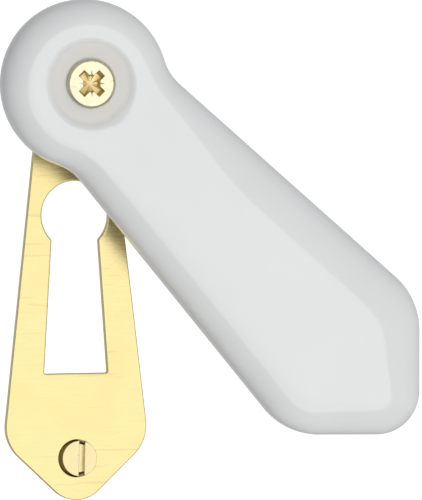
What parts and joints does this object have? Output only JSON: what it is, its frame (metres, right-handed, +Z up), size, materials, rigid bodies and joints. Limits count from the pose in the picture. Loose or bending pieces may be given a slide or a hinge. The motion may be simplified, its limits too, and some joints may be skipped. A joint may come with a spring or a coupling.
{
  "type": "covered keyhole escutcheon",
  "caption": "Porcelain cover that swings on a pivot screw in front of a brass keyhole plate, held at any angle by a spring washer and fixed to a door by wood screws.",
  "frame": {"origin": "on the pivot's axis where it meets the door, at the back of the riveted pillar", "axes": "+Z up the plate, +X to the right as seen from the front, +Y from the front into the door"},
  "size_m": [0.0594, 0.0233, 0.069],
  "materials": {
    "brushed_brass": "pale yellow brass sheet, finely brushed across, with fine scratches",
    "turned_brass": "polished pale brass, bright on faces and darker in slots",
    "glazed_porcelain": "smooth white glaze, glossy, faintly cool at the edges",
    "nylon": "natural nylon, satin",
    "spring_steel": "plain spring steel, satin"
  },
  "bodies": {
    "plate": {"back_plate": "brushed_brass", "pivot_pillar": "turned_brass", "wave_washer": "spring_steel", "pivot_screw": "turned_brass", "upper_fixing_screw": "turned_brass", "lower_fixing_screw": "turned_brass"},
    "cover": {"swing_cover": "glazed_porcelain", "cover_bush": "nylon"}
  },
  "joints": [
    {"name": "cover_swing", "type": "hinge", "parent": "plate", "child": "cover", "pos_m": [0, 0, 0], "axis": [0, 1, 0], "continuous": true}
  ]
}
